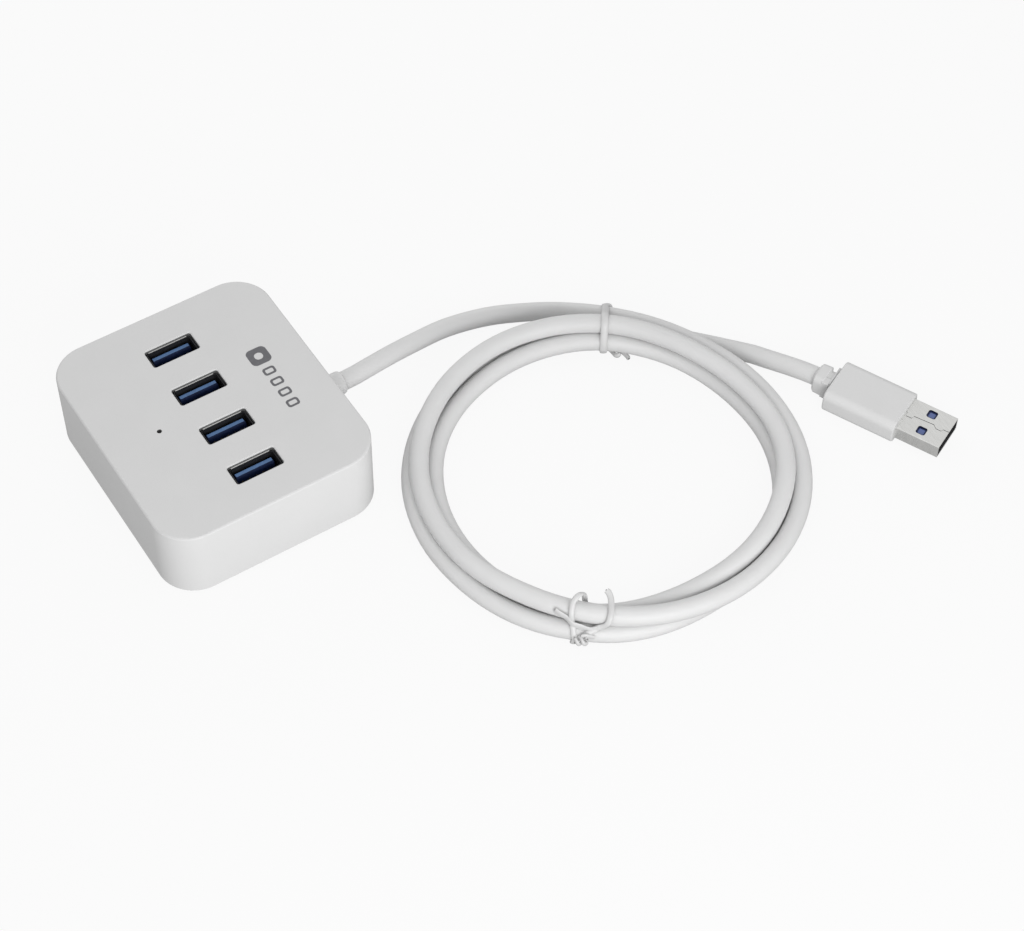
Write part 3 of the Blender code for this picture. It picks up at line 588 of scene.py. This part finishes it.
class Section:
    """A plane through the coil at one angle: across the coil, up, and along the strands."""

    def __init__(self, angle, route):
        turn = math.radians(angle)
        self.out = Vector((math.cos(turn), math.sin(turn), 0.0))
        self.along = Vector((-self.out.y, self.out.x, 0.0))
        self.strands = []
        offsets = [Vector(p) * MM - COIL for p in route]
        for a, b in zip(offsets, offsets[1:]):
            before, after = a.dot(self.along), b.dot(self.along)
            if before * after <= 0 and a.dot(self.out) > 0 and before != after:
                hit = a.lerp(b, before / (before - after))
                self.strands.append((hit.dot(self.out), hit.z))

    def place(self, out, up, along=0.0):
        """A point from millimetres: distance from the coil's middle, height, shift along."""
        return COIL + self.out * out * MM + Vector((0, 0, up * MM)) + self.along * along * MM

    def wrap(self, gap, start, end, steps, lean):
        """The path of a band pulled round the strands, from one direction to another.

        Directions are degrees from outwards, towards up. The band leans along the strands
        by lean millimetres from its inner to its outer side."""
        path = []
        for i in range(steps + 1):
            direction = math.radians(start + (end - start) * i / steps)
            cos, sin = math.cos(direction), math.sin(direction)
            out, up = max(self.strands, key=lambda s: s[0] * cos + s[1] * sin)
            out = (out + (CABLE_R + gap) * cos) / MM
            up = max(up + (CABLE_R + gap) * sin, gap) / MM
            share = (54.0 - out) / 14.0
            path.append(self.place(out, up, lean * share))
        return path


def tidy_path(points, spacing):
    return [Vector(p) for p in smooth_points([tuple(p) for p in points], spacing)]


def even_band(points, spacing):
    """Even spacing along straight runs and arcs, with corners eased."""
    corners = np.array([tuple(p) for p in points])
    run = np.concatenate([[0.0], np.cumsum(np.linalg.norm(np.diff(corners, axis=0), axis=1))])
    count = max(4, round(run[-1] / spacing))
    at = np.linspace(0.0, run[-1], count + 1)
    path = np.stack([np.interp(at, run, corners[:, k]) for k in range(3)], axis=1)
    for _ in range(3):
        path[1:-1] = 0.25 * path[:-2] + 0.5 * path[1:-1] + 0.25 * path[2:]
    return [Vector(p) for p in path]


def add_wire_end(bm, tip, run, radius):
    """The cut end of the tie's steel wire: a short stub that stands out of the plastic."""
    turn = run.to_track_quat("Z", "Y").to_matrix().to_4x4()
    made = bmesh.ops.create_cone(bm, segments=12, radius1=radius, radius2=radius * 0.9,
                                 depth=WIRE_OUT, cap_ends=True)
    bmesh.ops.transform(bm, matrix=Matrix.Translation(tip) @ turn, verts=made["verts"])


def add_strip(bm, path, wide, width, thickness):
    """Part of a tie: a flat bar with the wire showing at both ends."""
    sweep(bm, path, path_frames(path, wide), width, thickness)
    wires = bmesh.new()
    for tip, before in ((path[0], path[1]), (path[-1], path[-2])):
        add_wire_end(wires, tip, (tip - before).normalized(), thickness * WIRE_SHARE)
    return wires


def make_tie(name, strips, node_name, mats):
    """Build a tie from its strips, each (path, broad direction, width, thickness)."""
    bodies = bmesh.new()
    cores = []
    for path, wide, width, thickness in strips:
        cores.append(add_strip(bodies, path, wide, width, thickness))
    tie = finish_mesh(name, bodies, [mats["tie"]], 60.0)
    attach(tie, "root")
    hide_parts(node_name)
    joined = bmesh.new()
    for core in cores:
        part = bpy.data.meshes.new("part")
        core.to_mesh(part)
        core.free()
        joined.from_mesh(part)
        bpy.data.meshes.remove(part)
    wire = finish_mesh(name + "_wire", joined, [mats["tie_core"]], 40.0)
    wire.parent = tie
    return [tie, wire]


def twist(start, axis, side, length, radius, turns, phase):
    """One strand of a twisted pair."""
    other = axis.cross(side)
    count = 24
    path = []
    for i in range(count + 1):
        t = i / count
        angle = 2 * math.pi * turns * t + phase
        path.append(start + axis * length * t
                    + (side * math.cos(angle) + other * math.sin(angle)) * radius)
    return path


def make_first_tie(route, mats):
    """The tie at the far side: a snug band, a stub outside and two short ends inside."""
    here = Section(TIE_1_ANGLE, route)
    width, thickness = 2.0 * MM, 0.8 * MM
    band = even_band(here.wrap(thickness / 2, -175.0, 180.0, 120, 0.6), 0.5 * MM)
    band += [band[0]]
    stub = tidy_path([here.place(54.0, 5.8, 0.5), here.place(54.7, 6.7, 0.2),
                      here.place(54.8, 7.5, -0.4), here.place(54.2, 7.9, -1.1),
                      here.place(53.5, 7.5, -1.5)], 0.3 * MM)
    tail = tidy_path([here.place(45.6, 0.9, 0.2), here.place(44.3, 1.1, -1.2),
                      here.place(43.7, 1.3, -3.0), here.place(43.1, 1.4, -4.6),
                      here.place(41.6, 1.2, -6.1), here.place(40.8, 1.1, -6.6)], 0.4 * MM)
    curl = tidy_path([here.place(44.8, 0.7, -1.0), here.place(43.2, 0.8, -2.2),
                      here.place(42.0, 1.0, -2.9), here.place(41.6, 1.3, -3.6),
                      here.place(42.0, 1.6, -4.2)], 0.4 * MM)
    up = Vector((0, 0, 1))
    strips = [(band, here.along, width, thickness), (stub, here.along, 1.4 * MM, 0.9 * MM),
              (tail, up, 1.7 * MM, 1.1 * MM), (curl, up, 1.6 * MM, 1.0 * MM)]
    return make_tie("tie_1", strips, "twist_tie_1", mats)


def make_second_tie(route, mats):
    """The tie at the near side: a band with a loose arch, a twisted knot, two tails and a
    strap that runs from the long tail down the groove between the strands."""
    here = Section(TIE_2_ANGLE, route)
    # each point: distance from the coil's middle, height, shift along the strands
    band = [(54.6, 3.4, 0.8), (55.1, 2.6, 0.4), (54.4, 0.9, 0.0), (52.5, 0.35, 0.2),
            (49.5, 0.3, 0.6), (46.5, 0.35, 1.0), (44.3, 1.1, 1.3), (43.6, 3.0, 1.4),
            (44.4, 5.4, 1.4), (45.2, 7.4, 1.4), (45.5, 9.2, 1.3), (46.0, 11.0, 1.1),
            (46.9, 12.1, 0.5), (48.0, 12.2, -0.3), (49.4, 11.5, -1.0), (50.7, 10.6, -1.1),
            (51.8, 9.5, -1.0), (52.4, 8.0, -0.8), (52.7, 6.6, -0.5), (53.6, 5.5, -0.2),
            (54.7, 4.4, 0.2), (55.1, 3.6, 0.6)]
    long_tail = [(54.4, 4.7, 3.0), (53.6, 5.6, 4.2), (52.7, 6.5, 5.8), (52.4, 7.4, 7.3),
                 (52.3, 8.6, 8.4), (51.4, 10.1, 8.8), (49.6, 10.8, 8.8), (47.9, 11.0, 8.5),
                 (46.3, 11.3, 8.1), (45.1, 11.8, 7.4), (44.6, 12.1, 6.7)]
    short_tail = [(54.8, 5.0, 2.4), (54.7, 5.4, 3.1), (54.4, 4.9, 4.2), (53.9, 4.0, 5.3)]
    strap = [(51.1, 9.3, -5.3), (51.6, 8.8, -4.0), (52.1, 8.2, -2.2), (53.0, 7.1, -0.4),
             (52.8, 6.1, 1.8), (53.0, 5.8, 4.2), (52.7, 6.5, 6.2)]
    up = Vector((0, 0, 1))
    strips = []
    for points, wide, width in ((band, here.along, 1.5), (long_tail, here.along, 1.6),
                                (short_tail, up, 1.3), (strap, up, 2.1)):
        path = tidy_path([here.place(*point) for point in points], 0.4 * MM)
        strips.append((path, wide, width * MM, 0.8 * MM))
    knot = here.place(55.6, 3.7, 0.8)
    run = (here.along - here.out * 0.1 + up * 0.12).normalized()
    for phase in (0.0, math.pi):
        path = twist(knot, run, up, 3.0 * MM, 0.85 * MM, 1.0, phase)
        strips.append((path, up, 1.2 * MM, 0.9 * MM))
    return make_tie("tie_2", strips, "twist_tie_2", mats)


# ---------------------------------------------------------------- case

def make_case(mats):
    """The upper shell: matt top face, glossy sides, four port mouths and the light's hole, whose
    walls carry painted shade.
    """
    corner_steps = 28
    edge_steps = 6
    port_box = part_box("socket_shell_1")
    mouth_t = port_box[1].x - port_box[0].x + 2 * MOUTH_GAP
    mouth_l = port_box[1].y - port_box[0].y + 2 * MOUTH_GAP

    def outline(inset):
        return rounded_rectangle(CASE_W - 2 * inset, CASE_D - 2 * inset, CORNER_R - inset,
                                 corner_steps)

    bm = bmesh.new()
    ease = 0.25 * MM
    loops = [at_height(outline(WALL), CASE_TOP - ROOF), at_height(outline(WALL), CASE_BOTTOM),
             at_height(outline(ease), CASE_BOTTOM), at_height(outline(0.0), CASE_BOTTOM + ease)]
    for step in range(edge_steps + 1):
        angle = math.pi / 2 * step / edge_steps
        loops.append(at_height(outline(EDGE_R * (1 - math.cos(angle))),
                               CASE_TOP - EDGE_R * (1 - math.sin(angle))))
    loft(bm, loops)
    looks = [mats[look] for look in ("case_side", "case_top", "case_inside", "case_mouth_painted_shade")]
    case = finish_mesh("case_shell", bm, looks, 40.0)

    bm = bmesh.new()
    for i in range(PORTS):
        low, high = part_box(f"socket_shell_{i + 1}")
        center = ((low.x + high.x) / 2, (low.y + high.y) / 2)
        rows = [(0.0, CASE_TOP - ROOF - MM), (0.0, CASE_TOP - LEAD_IN)]
        for step in range(1, 4):
            angle = math.pi / 2 * step / 3
            rows.append((LEAD_IN * (1 - math.cos(angle)),
                         CASE_TOP - LEAD_IN * (1 - math.sin(angle))))
        rows.append((LEAD_IN, CASE_TOP + MM))
        loft(bm, [at_height(rounded_rectangle(mouth_t + 2 * grow, mouth_l + 2 * grow,
                                              MOUTH_CORNER + grow, 8, center), z)
                  for grow, z in rows])
    round_steps = 40
    rows = [(LED_R, CASE_TOP - ROOF - MM), (LED_R, CASE_TOP - LED_EASE),
            (LED_R + LED_EASE, CASE_TOP), (LED_R + LED_EASE, CASE_TOP + MM)]
    loft(bm, [[(LED_X + r * math.cos(2 * math.pi * k / round_steps),
                LED_Y + r * math.sin(2 * math.pi * k / round_steps), z)
               for k in range(round_steps)] for r, z in rows])
    slot_r = 3.1 * MM
    arch = [(EXIT.x - slot_r, CASE_BOTTOM - MM), (EXIT.x + slot_r, CASE_BOTTOM - MM)]
    for step in range(25):
        angle = math.pi * step / 24
        arch.append((EXIT.x + slot_r * math.cos(angle), EXIT.z + slot_r * math.sin(angle)))
    loft(bm, [[(x, CASE_D / 2 - WALL - MM, z) for x, z in arch],
              [(x, CASE_D / 2 + MM, z) for x, z in arch]])
    cut(case, bm)

    def depth(x, y):
        """How far a point lies inside the case's outline."""
        over_x, over_y = abs(x) - CASE_W / 2 + CORNER_R, abs(y) - CASE_D / 2 + CORNER_R
        return (CORNER_R - math.hypot(max(over_x, 0.0), max(over_y, 0.0))
                - min(max(over_x, over_y), 0.0))

    case.data.shade_smooth()
    case.data.set_sharp_from_angle(angle=math.radians(40.0))
    # the flat top is shaded flat, so that no streaks run between the mouths
    for face in case.data.polygons:
        middle = face.center
        face.use_smooth = face.normal.z < 0.9999
        if face.normal.z > 0.2 and middle.z > CASE_TOP - LEAD_IN:
            face.material_index = 1
        elif depth(middle.x, middle.y) < WALL / 2:
            face.material_index = 0
        # the walls of the mouths and the light's hole, inside the roof, get the dark grey of
        # painted shade
        elif middle.z > CASE_TOP - ROOF + 0.1 * MM:
            face.material_index = 3
        else:
            face.material_index = 2
    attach(case, "root")
    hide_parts("top_cover")


def make_print(mats):
    """A plain pictogram of a hub and its four ports, printed on the top face."""
    height = 0.03 * MM
    base = CASE_TOP + 0.005 * MM
    row_y = 18.4 * MM
    bm = bmesh.new()

    def add_frame(width, depth, radius, line, center):
        outer = rounded_rectangle(width, depth, radius, 8, center)
        inner = rounded_rectangle(width - 2 * line, depth - 2 * line, radius - 0.4 * MM, 8, center)
        loft(bm, [at_height(inner, base), at_height(outer, base),
                  at_height(outer, base + height), at_height(inner, base + height)], ring=True)

    add_frame(5.8 * MM, 5.8 * MM, 1.5 * MM, 1.7 * MM, (-8.2 * MM, row_y))
    for i in range(PORTS):
        add_frame(2.6 * MM, 3.5 * MM, 0.8 * MM, 0.62 * MM, ((-2.3 + 4.2 * i) * MM, row_y))
    mark = finish_mesh("top_print", bm, [mats["print"]], 30.0)
    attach(mark, "root")


# ---------------------------------------------------------------- ports

def make_port_shell(i, mats):
    """A folded metal socket, painted dark as shade in place of its plating, with a flared lip on
    its long back side.
    """
    low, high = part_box(f"socket_shell_{i}")
    center = ((low.x + high.x) / 2, (low.y + high.y) / 2)
    width, length = high.x - low.x, high.y - low.y
    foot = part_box(f"socket_insulator_{i}")[0].z
    roll = 0.14 * MM
    bm = bmesh.new()
    outer = rounded_rectangle(width, length, 0.8 * MM, 6, center)
    inner = rounded_rectangle(width - 2 * SHEET, length - 2 * SHEET, 0.5 * MM, 6, center)
    rim = rounded_rectangle(width - roll, length - roll, 0.73 * MM, 6, center)
    loft(bm, [at_height(inner, foot), at_height(outer, foot), at_height(outer, high.z - roll),
              at_height(rim, high.z), at_height(inner, high.z)], ring=True)
    # the socket's whole shell gets the plating with painted shade
    shell = finish_mesh(f"port_shell_{i}", bm, [mats["plating_painted_shade"]], 40.0)
    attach(shell, "root")
    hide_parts(f"socket_shell_{i}")

    bm = bmesh.new()
    back = low.x - 0.27 * MM
    half = length / 2 - 0.9 * MM
    profile = [(0.0, 0.06), (0.05, 0.14), (0.34, 0.1), (0.62, -0.5), (0.72, -1.4), (0.62, -1.4),
               (0.5, -0.5), (0.28, -0.03), (0.0, -0.04)]
    loft(bm, [[(back + x * MM, center[1] + y, high.z + z * MM) for x, z in profile]
              for y in (-half, half)])
    for y in (-3.2 * MM, 3.2 * MM):
        leaf = [(0.56, -1.6), (1.02, -3.2), (0.97, -4.4), (0.56, -7.5), (0.42, -7.5),
                (0.82, -4.4), (0.84, -3.2), (0.42, -1.6)]
        loft(bm, [[(back + x * MM, center[1] + y + w * MM, high.z + z * MM) for x, z in leaf]
                  for w in (-0.9, 0.9)])
    lip = finish_mesh(f"port_lip_{i}", bm, [mats["nickel"], mats["plating_painted_shade"]], 50.0)
    # the lip's faces that look up keep the nickel; the others get the plating with painted shade
    for face in lip.data.polygons:
        face.material_index = 0 if face.normal.z > 0.6 else 1
    soften(lip, 0.03 * MM, 2)
    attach(lip, "root")


def make_tongue(i, mats):
    """The blue moulding: its base in the socket and the tongue, bevelled on the contact side."""
    shell_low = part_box(f"socket_shell_{i}")[0]
    low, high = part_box(f"socket_insulator_{i}")
    base = 11.0 * MM
    back = shell_low.x + SHEET + TONGUE_BACK
    front = back + TONGUE_T
    tip = high.z
    bm = bmesh.new()
    block = rounded_rectangle(high.x - low.x, high.y - low.y, 0.3 * MM, 3,
                              ((low.x + high.x) / 2, (low.y + high.y) / 2))
    loft(bm, [at_height(block, low.z), at_height(block, base)])
    half = TONGUE_L / 2
    edge = 0.25 * MM
    slope = 0.62 * MM
    rows = [(back, front, half, base - MM), (back, front, half, tip - 1.1 * MM),
            (back, front - 0.25 * MM, half, tip - 0.45 * MM),
            (back, front - slope, half - edge / 2, tip - 0.08 * MM),
            (back + edge / 2, front - slope - 0.08 * MM, half - edge, tip)]
    loft(bm, [[(x1, -y, z), (x1, y, z), (x0, y, z), (x0, -y, z)] for x0, x1, y, z in rows])
    tongue = finish_mesh(f"port_tongue_{i}", bm, [mats["blue"], mats["blue_painted_lit"]], 30.0)
    # the top face gets the lighter blue with painted light; the sides keep the near-black blue of
    # painted shade
    for face in tongue.data.polygons:
        if face.normal.z > 0.97:
            face.material_index = 1
    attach(tongue, "root")
    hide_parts(f"socket_insulator_{i}")

    bm = bmesh.new()
    for y in (-3.5, -1.0, 1.0, 3.5):
        add_box(bm, (0.12 * MM, 1.0 * MM, 5.0 * MM), (front + 0.04 * MM, y * MM, tip - 5.4 * MM))
    for y in (-4.0, -2.0, 0.0, 2.0, 4.0):
        add_box(bm, (0.12 * MM, 0.5 * MM, 0.8 * MM), (front + 0.04 * MM, y * MM, tip - 2.1 * MM))
    # the socket's contacts get the gold with painted shade
    contacts = finish_mesh(f"port_contacts_{i}", bm, [mats["gold_painted_shade"]], 30.0)
    soften(contacts, 0.04 * MM, 2)
    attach(contacts, "root")


# ---------------------------------------------------------------- plug

def plug_matrix():
    """The plug's own frame: +X towards its tip, +Z up, origin where the shell leaves the mould."""
    return Matrix.Translation(PLUG_BASE) @ Matrix.Rotation(PLUG_TURN, 4, "Z")


def section_at(x, width, height, radius, steps=8):
    return [(x, y, z) for y, z in rounded_rectangle(width, height, radius, steps)]


def move(bm, matrix):
    bmesh.ops.transform(bm, matrix=matrix, verts=bm.verts)


def make_plug_body(mats):
    """The overmould: a soft-edged block with a fine rim at the shell end."""
    bm = bmesh.new()
    radius = 2.3 * MM
    sections = []
    back_round = 0.5 * MM
    steps = 6
    for step in range(steps + 1):
        angle = math.pi / 2 * step / steps
        shrink = back_round * (1 - math.sin(angle))
        x = -MOULD_L + back_round * (1 - math.cos(angle))
        sections.append(section_at(x, MOULD_W - 2 * shrink, MOULD_H - 2 * shrink,
                                   max(radius - shrink * 0.8, 0.5 * MM)))
    front_round = 0.35 * MM
    for step in range(steps + 1):
        angle = math.pi / 2 * step / steps
        shrink = front_round * (1 - math.cos(angle))
        x = -front_round * (1 - math.sin(angle))
        sections.append(section_at(x, MOULD_W - 2 * shrink, MOULD_H - 2 * shrink,
                                   radius - shrink))
    loft(bm, sections)
    move(bm, plug_matrix())
    body = finish_mesh("plug_body", bm, [mats["plug_white"]], 50.0)
    bm = bmesh.new()
    clear = 0.12 * MM
    loft(bm, [section_at(-3.3 * MM, SHELL_W + clear, SHELL_H + clear, 0.6 * MM),
              section_at(MM, SHELL_W + clear, SHELL_H + clear, 0.6 * MM)])
    move(bm, plug_matrix())
    cut(body, bm)
    body.data.set_sharp_from_angle(angle=math.radians(50.0))
    body.modifiers.new("normals", "WEIGHTED_NORMAL").keep_sharp = True
    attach(body, "root")
    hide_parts("plug_overmould")
    return body


def make_plug_boot(mats):
    """The squarish stepped sleeve behind the overmould, slotted on its far side, with a nub."""
    back = -MOULD_L + 0.3 * MM
    bm = bmesh.new()
    rows = [(0.0, 5.9, 5.6, 1.9), (0.5, 5.9, 5.6, 1.9), (0.6, 6.6, 6.3, 1.7), (1.1, 6.6, 6.3, 1.7),
            (1.2, 5.9, 5.6, 1.9), (2.4, 5.9, 5.6, 1.9), (2.6, 7.2, 6.8, 1.6), (5.2, 7.0, 6.6, 1.6),
            (5.7, 6.2, 5.8, 1.9)]
    loft(bm, [section_at(back - x * MM, w * MM, h * MM, r * MM) for x, w, h, r in rows])
    add_box(bm, (1.9 * MM, 2.4 * MM, 6.2 * MM), (back - 1.9 * MM, -2.3 * MM, 0.0))
    add_box(bm, (0.7 * MM, 1.4 * MM, 1.4 * MM), (back - 0.85 * MM, 3.5 * MM, 2.0 * MM))
    move(bm, plug_matrix())
    boot = finish_mesh("plug_boot", bm, [mats["plug_white"]], 30.0)
    soften(boot, 0.15 * MM, 3)
    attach(boot, "root")
    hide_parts("plug_neck")
    return boot


def make_plug_tube(mats):
    """The folded metal shell with its latch holes, rolled tip and dovetail seam."""
    bm = bmesh.new()
    tip = SHELL_OUT
    lip = 0.06 * MM
    rows = [(-SHELL_IN, SHELL_W - 2 * SHEET, SHELL_H - 2 * SHEET, 0.2 * MM),
            (-SHELL_IN, SHELL_W, SHELL_H, 0.4 * MM),
            (tip - lip, SHELL_W, SHELL_H, 0.4 * MM),
            (tip, SHELL_W - 2 * lip, SHELL_H - 2 * lip, 0.35 * MM),
            (tip, SHELL_W - 2 * SHEET + lip, SHELL_H - 2 * SHEET + lip, 0.25 * MM),
            (tip - lip, SHELL_W - 2 * SHEET, SHELL_H - 2 * SHEET, 0.2 * MM)]
    loft(bm, [section_at(*row) for row in rows], ring=True)
    move(bm, plug_matrix())
    shell = finish_mesh("plug_tube", bm, [mats["nickel"], mats["plating_painted_shade"]], 40.0)

    bm = bmesh.new()
    hole = rounded_rectangle(LATCH, LATCH, 0.6 * MM, 6)
    for side in (-1, 1):
        loft(bm, [[(LATCH_X + x, side * LATCH_Y + y, z) for x, y in hole]
                  for z in (-SHELL_H, SHELL_H)])
    # the seam: a hair line that steps sideways and back, as a dovetail joint does
    seam = [(-0.4, 0.49), (0.4, 0.4), (0.6, -0.9), (2.3, -0.85), (2.5, 0.1), (8.3, 0.35),
            (9.3, -0.58), (10.9, -0.62), (11.15, 0.12), (13.4, 0.2)]
    half = 0.09
    left = [(x * MM, (y + half) * MM) for x, y in seam]
    right = [(x * MM, (y - half) * MM) for x, y in reversed(seam)]
    depth = SHELL_H / 2 - 0.16 * MM
    loft(bm, [[(x, y, z) for x, y in left + right] for z in (depth, SHELL_H)])
    move(bm, plug_matrix())
    cut(shell, bm)
    shell.data.set_sharp_from_angle(angle=math.radians(40.0))
    own = plug_matrix().inverted()
    # the inner walls and the holes' edges get painted shade, a dark copy of the plating; the
    # outside is plated
    for face in shell.data.polygons:
        place = own @ face.center
        facing = own.to_3x3() @ face.normal
        inwards = facing.y * place.y + facing.z * place.z < 0 and abs(facing.x) < 0.9
        hole = abs(facing.z) < 0.5 and abs(place.y) < SHELL_W / 2 - 0.7 * MM
        within = -2.9 * MM < place.x < SHELL_OUT - 0.2 * MM
        face.material_index = 1 if (inwards or hole) and within else 0
    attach(shell, "root")
    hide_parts("plug_shell")
    return shell


def make_plug_inside(mats):
    """The blue insulator under the shell's upper side, with a pad in each latch hole and its
    contacts beneath. Its block is a dark navy copy of the blue, as painted shade; the pads' tops
    are plain blue."""
    inside_w = SHELL_W - 2 * SHEET - 0.3 * MM
    top = SHELL_H / 2 - SHEET - 0.3 * MM
    thickness = 1.7 * MM
    front = SHELL_OUT - PLUG_INSET
    bm = bmesh.new()
    add_box(bm, (front + SHELL_IN, inside_w, thickness),
            ((front - SHELL_IN) / 2, 0.0, top - thickness / 2), plug_matrix())
    pad = (1.9 * MM, 1.9 * MM, 0.4 * MM)
    for side in (-1, 1):
        add_box(bm, pad, (LATCH_X, side * LATCH_Y, top), plug_matrix())
    block = finish_mesh("plug_core", bm, [mats["plug_blue_painted_shade"], mats["plug_blue"]], 30.0)
    # the pads' tops take the plain blue; the rest of the block gets the navy of painted shade
    for face in block.data.polygons:
        if face.center.z > PLUG_BASE.z + top + 0.1 * MM:
            face.material_index = 1
    soften(block, 0.2 * MM, 3)
    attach(block, "root")
    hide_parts("plug_insulator")

    bm = bmesh.new()
    under = top - thickness - 0.04 * MM
    for y in (-3.5, -1.0, 1.0, 3.5):
        add_box(bm, (7.4 * MM, 1.0 * MM, 0.1 * MM), (front - 4.6 * MM, y * MM, under),
                plug_matrix())
    for y in (-4.0, -2.0, 0.0, 2.0, 4.0):
        add_box(bm, (1.6 * MM, 0.6 * MM, 0.4 * MM), (front - 10.4 * MM, y * MM, under),
                plug_matrix())
    contacts = finish_mesh("plug_contacts", bm, [mats["gold"]], 30.0)
    soften(contacts, 0.04 * MM, 2)
    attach(contacts, "root")
    return [block, contacts]


# ---------------------------------------------------------------- scene

def main():
    add_camera()
    add_room()
    mats = make_materials()
    route = cable_route()
    cable = make_cable(route, mats)
    ties = make_first_tie(route, mats) + make_second_tie(route, mats)
    boot = make_plug_boot(mats)
    plug = [make_plug_body(mats), make_plug_tube(mats)] + make_plug_inside(mats)
    length = float(np.linalg.norm(np.diff(route, axis=0), axis=1).sum()) * MM
    print(f"cable length {length:.4f} m")

    paint_cad_nodes(mats)
    make_case(mats)
    make_print(mats)
    for i in range(1, PORTS + 1):
        make_port_shell(i, mats)
        make_tongue(i, mats)


main()
